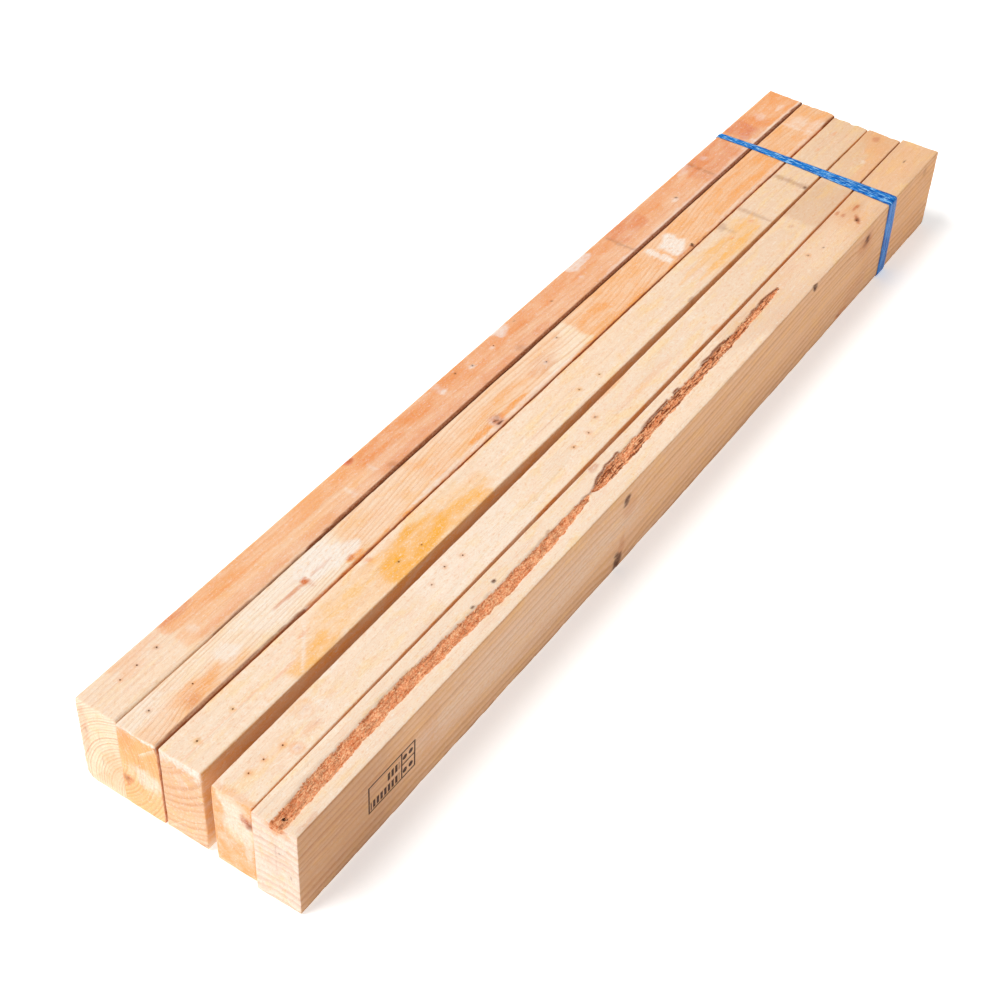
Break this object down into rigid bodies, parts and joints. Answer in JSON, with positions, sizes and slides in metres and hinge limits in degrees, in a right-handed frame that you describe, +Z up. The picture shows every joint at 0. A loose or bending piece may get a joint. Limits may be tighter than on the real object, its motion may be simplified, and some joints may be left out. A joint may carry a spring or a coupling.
{
  "type": "bundle of pine studs",
  "caption": "Strapped bundle of sawn pine studs lying side by side on edge, slightly fanned at one end, with a plastic strap round it near the other end.",
  "frame": {"origin": "bottom centre of the bundle's bounding box, on the floor it lies on", "axes": "+X along the studs from the fanned end to the strapped end, +Y across the bundle from the fifth stud to the first, +Z up"},
  "size_m": [1.0224, 0.2024, 0.0879],
  "materials": {
    "pine_red": "rough sawn",
    "pine_tan": "rough sawn",
    "pine_stained": "rough sawn",
    "pine_cream": "rough sawn",
    "pine_pale": "rough sawn",
    "strap_blue": "crumpled, semi-gloss"
  },
  "bodies": {
    "root": {"stud_1": "pine_red", "stud_2": "pine_tan", "stud_3": "pine_stained", "stud_4": "pine_cream", "stud_5": "pine_pale", "strap": "strap_blue"}
  },
  "joints": []
}
